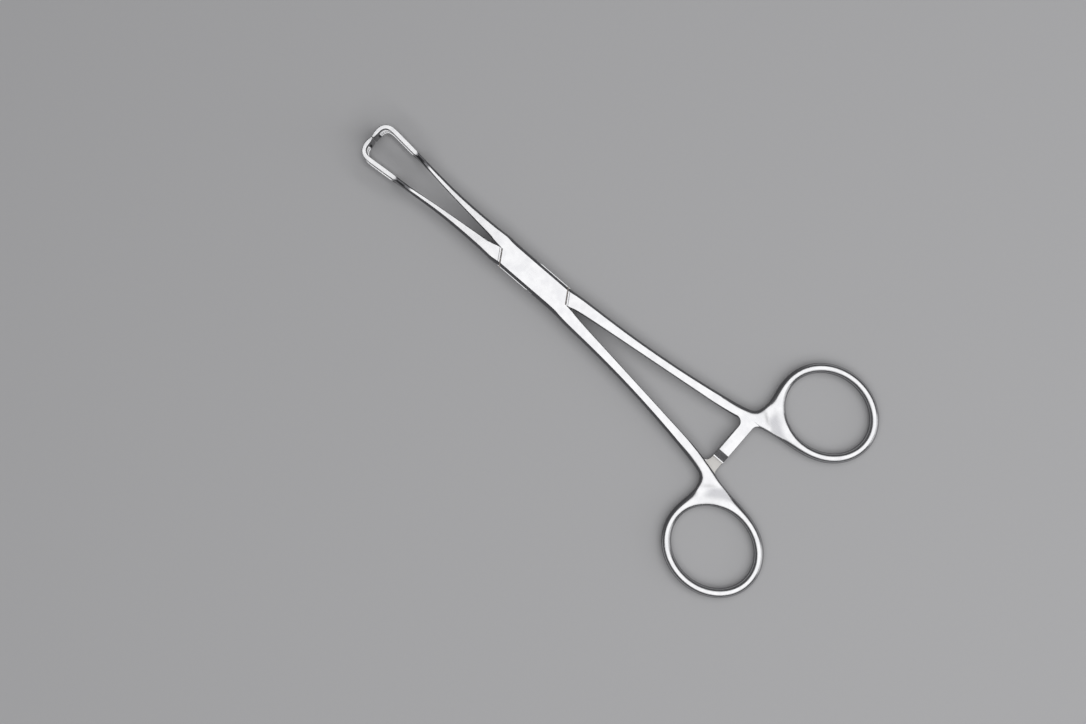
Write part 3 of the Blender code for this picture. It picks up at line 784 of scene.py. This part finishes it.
def fillet(corner, before, after, radius, steps):
    """Arc points that round one corner of an outline."""
    corner = Vector(corner)
    first = (Vector(before) - corner).normalized()
    second = (Vector(after) - corner).normalized()
    middle = (first + second).normalized()
    centre = corner + middle * (radius / sin(first.angle(second) / 2))
    ends = []
    for side in (first, second):
        out = side.orthogonal()
        ends.append(-out if out.dot(middle) > 0 else out)
    begin = atan2(ends[0].y, ends[0].x)
    sweep = (atan2(ends[1].y, ends[1].x) - begin + pi) % (2 * pi) - pi
    turns = [begin + sweep * i / steps for i in range(steps + 1)]
    return [tuple(centre + Vector((cos(turn), sin(turn))) * radius) for turn in turns]


def ratchet_outline(s):
    """Plan outline of the right-hand ratchet bar, with rounded roots on its shank."""
    low = -s.ratchet_y - s.ratchet_width / 2
    high = -s.ratchet_y + s.ratchet_width / 2
    end = -s.ratchet_reach
    radius = s.ratchet_root
    lower = fillet((LOWER_ROOT, low), (end, low), (LOWER_ROOT + LOWER_LEAN, low - 1.0), radius,
                   FILLET_STEPS)
    upper = fillet((UPPER_ROOT, high), (UPPER_ROOT - UPPER_LEAN, high + 1.0), (end, high), radius,
                   FILLET_STEPS)
    inside = [(s.shank_spread + LOWER_TUCK[0], low - LOWER_TUCK[1]),
              (s.shank_spread + UPPER_TUCK, high + radius)]
    return [(end, high), (end, low)] + lower + inside + upper


def standing(name, outline, s):
    """A prism whose outline stands in the XZ plane, across the ratchet bar."""
    item = prism(name, outline, s.ratchet_y - s.ratchet_width, s.ratchet_y + s.ratchet_width)
    item.data.transform(Matrix(((1, 0, 0), (0, 0, -1), (0, 1, 0))).to_4x4())
    return item


def ratchet_bar(s, name, hand):
    """Ratchet bar of one half: a sloped nose and a toothed face turned to the other bar."""
    floor = s.ratchet_gap / 2
    end = -s.ratchet_reach
    item = prism(name, ratchet_outline(s), floor, s.ratchet_top, bevel=BAR_BEVEL)
    cut(item, standing(name + "_nose", [
        (end - PAST, floor + s.nose_height), (end + NOSE_LAND, floor + s.nose_height),
        (end + s.nose_length, s.ratchet_top), (end + s.nose_length, s.ratchet_top + PAST),
        (end - PAST, s.ratchet_top + PAST)], s))
    for index in range(TOOTH_COUNT):
        start = end + TOOTH_START + index * s.tooth_pitch
        stop = start + s.tooth_pitch * TOOTH_SHARE
        cut(item, standing(f"{name}_notch_{index}", [
            (start, floor - PAST), (stop, floor - PAST), (stop, floor),
            (start, floor + s.tooth_depth)], s))
    machine(item)
    if hand < 0:
        item.data.transform(Matrix.Rotation(pi, 4, "Y"))
    return item


def groove_shoulders(item, s, offset, width, depth):
    """Grooves both shoulders, above and below, at one distance from the box half's edge."""
    for turn in (1, -1):
        start, end = shoulder_line(s, offset)
        for side in (1, -1):
            z = side * (s.lock_thickness / 2 + GROOVE_RISE)
            cut(item, groove_bar(f"shoulder_groove_{turn}_{side}_{offset:.2f}",
                                 (start[0] * turn, start[1] * turn, z),
                                 (end[0] * turn, end[1] * turn, z), width, depth))


def build_half(context, name, node, body, hand):
    """One dressed half: forged, machined, laid on the table and named for its body."""
    s = in_millimetres(context.scene.forceps_sizes)
    item = forging(s, name, hand)
    machine(item)
    smooth_joint(item, s, hand)
    plate = s.lock_thickness / 2
    over = plate + PAST
    bore = s.pin_diameter / 2
    groove = (s.shoulder_gap / 2, s.shoulder_gap / 2 + s.shoulder_bevel, GROOVE_DEPTH)
    if hand < 0:
        cut(item, prism("shoulder_lower", box_trim(s), -over, over))
        cut(item, prism("shoulder_upper", turned(box_trim(s)), -over, over))
        slot_half = plate - s.plate
        cut(item, prism("lock_slot", slot_outline(s), -slot_half, slot_half))
        cut(item, rod("pin_bore", bore + BOX_BORE_PLAY, -over, over, BORE_SEGMENTS))
        groove_shoulders(item, s, *groove)
    else:
        cut(item, prism("lock_room", lock_space(s), -over, over))
        groove_shoulders(item, s, *groove)
        groove_shoulders(item, s, s.shoulder_gap + FINE_LINE_OFFSET, FINE_LINE_WIDTH,
                         FINE_LINE_DEPTH)
        waist = plate - s.plate - s.slot_clearance
        cut(item, prism("waist", waist_outline(s), -waist, waist), "UNION")
        cut(item, rod("pin_bore", bore + PIN_PLAY, -over, over, BORE_SEGMENTS))
    cut(item, ratchet_bar(s, name + "_ratchet", hand), "UNION")
    machine(item)
    item.data.shade_smooth()
    item.data.set_sharp_from_angle(angle=radians(SHARP_ANGLE))
    sharpen_ratchet(item, s)
    store_facing(item.data)
    item.data.transform(table_place())
    item.data.materials.clear()
    item.data.materials.append(satin_steel(context, name + " steel"))
    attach(item, body)
    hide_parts(node)
    return item


def sharpen_ratchet(item, s):
    """Keeps the low edges of the ratchet bar crisp, its nose and teeth."""
    bm = bmesh.new()
    bm.from_mesh(item.data)
    for edge in bm.edges:
        inside = all(abs(corner.co.x) < s.ratchet_reach + BAR_MARGINS[0]
                     and abs(corner.co.y + s.ratchet_y) < s.ratchet_width / 2 + BAR_MARGINS[1]
                     for corner in edge.verts)
        if inside and edge.calc_face_angle(0.0) > radians(BAR_SHARP_ANGLE):
            edge.smooth = False
    bm.to_mesh(item.data)
    bm.free()


def store_facing(mesh):
    """Keeps the way each corner faces, in the instrument's own frame, for the steel to read."""
    facing = mesh.attributes.new(FACING, "FLOAT_VECTOR", "CORNER")
    for corner, place in zip(mesh.corner_normals, facing.data):
        place.vector = corner.vector


# Materials

class Wire:
    """A node socket that takes part in Python arithmetic."""

    def __init__(self, tree, socket):
        self.tree = tree
        self.socket = socket

    def maths(self, operation, *values):
        """One Math node on wires and numbers."""
        node = self.tree.nodes.new("ShaderNodeMath")
        node.operation = operation
        for socket, value in zip(node.inputs, values):
            if isinstance(value, Wire):
                self.tree.links.new(value.socket, socket)
            else:
                socket.default_value = value
        return Wire(self.tree, node.outputs[0])

    def __add__(self, other):
        return self.maths("ADD", self, other)

    def __radd__(self, other):
        return self.maths("ADD", other, self)

    def __sub__(self, other):
        return self.maths("SUBTRACT", self, other)

    def __rsub__(self, other):
        return self.maths("SUBTRACT", other, self)

    def __mul__(self, other):
        return self.maths("MULTIPLY", self, other)

    def __rmul__(self, other):
        return self.maths("MULTIPLY", other, self)

    def __abs__(self):
        return self.maths("ABSOLUTE", self)


class Recipe:
    """Node tree of one material."""

    def __init__(self, name):
        self.material = bpy.data.materials.new(name)
        self.material.use_nodes = True
        self.tree = self.material.node_tree
        self.shader = self.tree.nodes["Principled BSDF"]

    def node(self, kind, settings=None, inputs=None, output=0):
        """Any node: its type, its settings, its sockets; returns one output as a wire."""
        node = self.tree.nodes.new(kind)
        for key, value in (settings or {}).items():
            setattr(node, key, value)
        for key, value in (inputs or {}).items():
            self.feed(node.inputs[key], value)
        return Wire(self.tree, node.outputs[output])

    def feed(self, socket, value):
        """Links a wire to a socket, or sets its value."""
        if isinstance(value, Wire):
            self.tree.links.new(value.socket, socket)
        elif socket.type == "RGBA":
            socket.default_value = (*value, 1.0)
        else:
            socket.default_value = value

    def mix(self, share, first, second):
        """Mix of two colours."""
        return self.node("ShaderNodeMix", {"data_type": "RGBA"}, {0: share, 6: first, 7: second}, 2)

    def smooth(self, value, start, end):
        """0 before start, 1 after end, eased between."""
        return self.node("ShaderNodeMapRange", {"interpolation_type": "SMOOTHSTEP"},
                         {"Value": value, "From Min": start, "From Max": end})

    def falling(self, value, start, end):
        """1 before start, 0 after end, eased between."""
        return self.smooth(0.0 - value, -end, -start)

    def part(self, vector, axis):
        """One coordinate of a vector."""
        return self.node("ShaderNodeSeparateXYZ", None, {"Vector": vector}, axis)

    def noise(self, place, scale, detail=2.0, roughness=0.5):
        """Cloudy values from 0 to 1."""
        return self.node("ShaderNodeTexNoise", None, {"Vector": place, "Scale": scale,
                                                      "Detail": detail, "Roughness": roughness})

    def stretched(self, place, stretch):
        """A place with each coordinate scaled."""
        return self.node("ShaderNodeVectorMath", {"operation": "MULTIPLY"},
                         {0: place, 1: stretch})


def instrument_place(recipe):
    """Object coordinates turned back to the instrument's own millimetres."""
    place = recipe.node("ShaderNodeTexCoord", output=3)
    return recipe.node("ShaderNodeMapping", {"vector_type": "TEXTURE"}, {
        "Vector": place, "Location": HINGE["pos_m"], "Rotation": (LEAN, 0.0, 0.0),
        "Scale": (MM, MM, MM)})


def jaw_ramp_shade(recipe, s, y, right):
    """Painted shade where the arm rises into the jaw, kept off the side turned to the right."""
    begin = arm_end(s)
    rise = recipe.smooth(y, begin + RAMP_SHADE_BEGIN[0], begin + RAMP_SHADE_BEGIN[1])
    rise = rise * recipe.falling(y, begin + s.jaw_ramp, begin + RAMP_SHADE_END * s.jaw_ramp)
    return rise * recipe.falling(right, *RAMP_SHADE_SIDE)


def shoulder_hairline(recipe, s, x, y, speckle):
    """Along the two shoulders of the lock, broken up by a speckle."""
    slope = s.shoulder_drop / (s.lock_width / 2 + s.shoulder_gap)
    away = abs(abs(y - x * slope) - (s.lock_crotch - slope * s.shoulder_gap / 2))
    line = recipe.falling(away, *HAIRLINE_WIDTH) * recipe.smooth(speckle, *SPECKLE_RANGE)
    return line * recipe.falling(x * y, *HAIRLINE_SIDE)


def steel_masks(recipe, s, half):
    """Where each look of the steel lies, painted shade among them, from the place on the instrument
    and the way it faces.
    """
    place = instrument_place(recipe)
    x, y, z = (recipe.part(place, axis) for axis in range(3))
    facing = recipe.node("ShaderNodeAttribute", {"attribute_name": FACING}, None, 1)
    up = abs(recipe.part(facing, 2))
    fine = recipe.noise(place, *FINE)
    plate = s.lock_thickness / 2
    flat = (recipe.smooth(up, *FLAT_FACING) if half
            else recipe.smooth(abs(z), plate - PIN_FACE[0], plate - PIN_FACE[1]))
    # Painted shade on the jaw ramp, kept off the side turned to the right
    foot = jaw_ramp_shade(recipe, s, y, recipe.part(facing, 0))
    ring = recipe.falling(y, -s.ratchet_y - RING_RUN, -s.ratchet_y)
    bar = recipe.falling(abs(y + s.ratchet_y), s.ratchet_width / 2, s.ratchet_width)
    return SimpleNamespace(
        mottle=recipe.noise(place, *MOTTLE),
        fine=fine,
        grain=recipe.noise(recipe.stretched(place, GRAIN_STRETCH), *GRAIN),
        flat=flat,
        foot=foot,
        # Painted shade: the rounded edges take a grey by how far they face up, lighter on the
        # rings, and the jaw ramp takes the darkest side shade
        shoulder=recipe.smooth(up + ring * RING_LIFT, *SHOULDER_FACING) * (1.0 - foot),
        # Painted shade in the dished web of the yokes, by height and place
        dish=(recipe.falling(abs(z), *DISH_SHADE_HEIGHT)
              * recipe.falling(y, -DISH_SHADE_PLACE[1], -DISH_SHADE_PLACE[0])),
        land=bar * recipe.falling(abs(z), *LAND_HEIGHT),
        hairline=shoulder_hairline(recipe, s, x, y, fine))


def satin_steel(context, name, half=True):
    """Ground flats, painted shade on the sides, rounded edges, jaw ramps and yoke dishes, fine
    grain, mottling and a warm shoulder hairline.
    """
    look = context.scene.forceps_finish
    recipe = Recipe(name)
    on = steel_masks(recipe, in_millimetres(context.scene.forceps_sizes), half)
    cloud = recipe.smooth(on.mottle, *CLOUD_RANGE) * (ON_SIDES + on.flat * CLOUD_ON_FLATS)
    streak = recipe.smooth(on.grain, *STREAK_RANGE) * (ON_SIDES + on.flat * STREAK_ON_FLATS)
    worn = 1.0 - recipe.smooth(on.grain, *WORN_RANGE) * WORN_SHARE
    # Painted shade: dark steep sides and grey rounded edges, by how far they face up
    base = recipe.mix(on.shoulder, tuple(look.side), tuple(look.shoulder))
    # Painted shade on the jaw ramp dims the bright flats there
    base = recipe.mix(on.flat * (1.0 - on.foot * RAMP_SHADE_SHARE), base, tuple(look.flat))
    # Painted shade darkens the flats in the yoke dishes
    base = recipe.mix(on.dish * on.flat * DISH_SHADE_SHARE, base, tuple(look.dish))
    base = recipe.mix(cloud, base, CLOUD_TINT)
    base = recipe.mix(streak, base, STREAK_TINT)
    base = recipe.mix(on.hairline * RESIDUE_SHARE, base, tuple(look.residue))
    base = recipe.mix(on.land * worn * LAND_SHARE, base, tuple(look.land))
    rough = look.side_roughness + on.flat * (look.flat_roughness - look.side_roughness)
    rough = rough + (on.mottle - 0.5) * ROUGH_MOTTLE + (on.grain - 0.5) * ROUGH_GRAIN
    bump = recipe.node("ShaderNodeBump", None, {
        "Strength": look.grain, "Distance": RELIEF_DEPTH * MM,
        "Height": on.grain * RELIEF_GRAIN + on.fine * RELIEF_FINE})
    recipe.feed(recipe.shader.inputs["Base Color"], base)
    recipe.feed(recipe.shader.inputs["Roughness"], rough + on.land * ROUGH_LAND)
    recipe.feed(recipe.shader.inputs["Normal"], bump)
    recipe.shader.inputs["Metallic"].default_value = 1.0
    return recipe.material


def floor_finish(context):
    """Plain pale matt floor with a barely seen tooth."""
    recipe = Recipe("pale floor")
    place = recipe.node("ShaderNodeTexCoord", output=3)
    speck = recipe.noise(place, SPECK_SCALE)
    tone = tuple(context.scene.forceps_studio.floor_colour)
    recipe.feed(recipe.shader.inputs["Base Color"],
                recipe.mix(speck * SPECK_SHARE, tone,
                           tuple(value * SPECK_SHADE for value in tone)))
    recipe.shader.inputs["Roughness"].default_value = FLOOR_ROUGHNESS
    recipe.shader.inputs["Specular IOR Level"].default_value = FLOOR_SHINE
    return recipe.material


# Operators

class FORCEPS_OT_box_half(bpy.types.Operator):
    """Build the half whose plates make the lock"""
    bl_idname = "forceps.box_half"
    bl_label = "Box half"

    def execute(self, context):
        build_half(context, "box_half_forging", "box_half", "box_body", -1)
        return {"FINISHED"}


class FORCEPS_OT_through_half(bpy.types.Operator):
    """Build the half whose waist passes through the lock"""
    bl_idname = "forceps.through_half"
    bl_label = "Through half"

    def execute(self, context):
        build_half(context, "through_half_forging", "through_half", "through_body",
                   1)
        return {"FINISHED"}


class FORCEPS_OT_lock_pin(bpy.types.Operator):
    """Give the hinge pin its ground steel"""
    bl_idname = "forceps.lock_pin"
    bl_label = "Lock pin"

    def execute(self, context):
        pin = frame["nodes"]["lock_pin"]
        steel = satin_steel(context, "pin steel", half=False)
        for slot in pin.material_slots:
            slot.material = steel
        return {"FINISHED"}


class FORCEPS_OT_stage(bpy.types.Operator):
    """Lay the floor and place the lamps and the camera"""
    bl_idname = "forceps.stage"
    bl_label = "Stage"

    def execute(self, context):
        studio = context.scene.forceps_studio
        bm = bmesh.new()
        bmesh.ops.create_grid(bm, x_segments=1, y_segments=1, size=FLOOR_REACH)
        floor = finish_mesh(bm, "floor")
        floor.data.materials.append(floor_finish(context))
        add_softbox("overhead softbox", (0.0, LAMP_BACK, studio.lamp_height),
                    (0.0, LAMP_BACK, 0.0), studio.lamp_size, studio.lamp_power)
        add_softbox("low soft lamp", LOW_LAMP_PLACE, (0.0, 0.0, 0.0), LOW_LAMP_SIZE,
                    studio.side_power)
        world = bpy.data.worlds.new("studio")
        world.use_nodes = True
        background = world.node_tree.nodes["Background"]
        background.inputs["Color"].default_value = (*studio.world_colour, 1.0)
        context.scene.world = world
        place_camera(context.scene)
        context.scene.view_settings.view_transform = "Standard"
        return {"FINISHED"}


def add_softbox(name, place, target, size, power):
    """A square soft lamp, turned to its target."""
    lamp = bpy.data.lights.new(name, "AREA")
    lamp.shape = "SQUARE"
    lamp.size = size
    lamp.energy = power
    item = bpy.data.objects.new(name, lamp)
    item.location = place
    aim = Vector(target) - Vector(place)
    item.rotation_euler = aim.to_track_quat("-Z", "Y").to_euler()
    bpy.context.scene.collection.objects.link(item)


def place_camera(scene):
    """Looks down on the forceps from nearly overhead."""
    right = Vector(CAMERA_RIGHT).normalized()
    up = Vector(CAMERA_UP)
    up = (up - right * up.dot(right)).normalized()
    turn = Matrix((right, up, right.cross(up))).transposed()
    lens = bpy.data.cameras.new("camera")
    lens.sensor_fit = "HORIZONTAL"
    lens.angle = radians(CAMERA_FIELD)
    lens.clip_start = 0.01
    camera = bpy.data.objects.new("camera", lens)
    camera.matrix_world = Matrix.Translation(CAMERA_PLACE) @ turn.to_4x4()
    scene.collection.objects.link(camera)
    scene.camera = camera


class FORCEPS_PT_pieces(bpy.types.Panel):
    """The forceps' pieces and sizes"""
    bl_idname = "FORCEPS_PT_pieces"
    bl_label = "Traction Forceps"
    bl_space_type = "VIEW_3D"
    bl_region_type = "UI"
    bl_category = "Forceps"

    def draw(self, context):
        layout = self.layout
        for operator in OPERATORS:
            layout.operator(operator.bl_idname)
        for group in (context.scene.forceps_sizes, context.scene.forceps_finish,
                      context.scene.forceps_studio):
            box = layout.box()
            for key in group.bl_rna.properties.keys():
                if key not in ("rna_type", "name"):
                    box.prop(group, key)


OPERATORS = (FORCEPS_OT_stage, FORCEPS_OT_box_half, FORCEPS_OT_through_half, FORCEPS_OT_lock_pin)
CLASSES = (ForcepsSizes, ForcepsFinish, ForcepsStudio) + OPERATORS + (FORCEPS_PT_pieces,)


def register():
    for item in CLASSES:
        bpy.utils.register_class(item)
    bpy.types.Scene.forceps_sizes = PointerProperty(type=ForcepsSizes)
    bpy.types.Scene.forceps_finish = PointerProperty(type=ForcepsFinish)
    bpy.types.Scene.forceps_studio = PointerProperty(type=ForcepsStudio)


def unregister():
    del bpy.types.Scene.forceps_studio
    del bpy.types.Scene.forceps_finish
    del bpy.types.Scene.forceps_sizes
    for item in reversed(CLASSES):
        bpy.utils.unregister_class(item)


def main():
    register()
    bpy.ops.forceps.stage()
    bpy.ops.forceps.box_half()
    bpy.ops.forceps.through_half()
    bpy.ops.forceps.lock_pin()


if __name__ == "__main__":
    main()
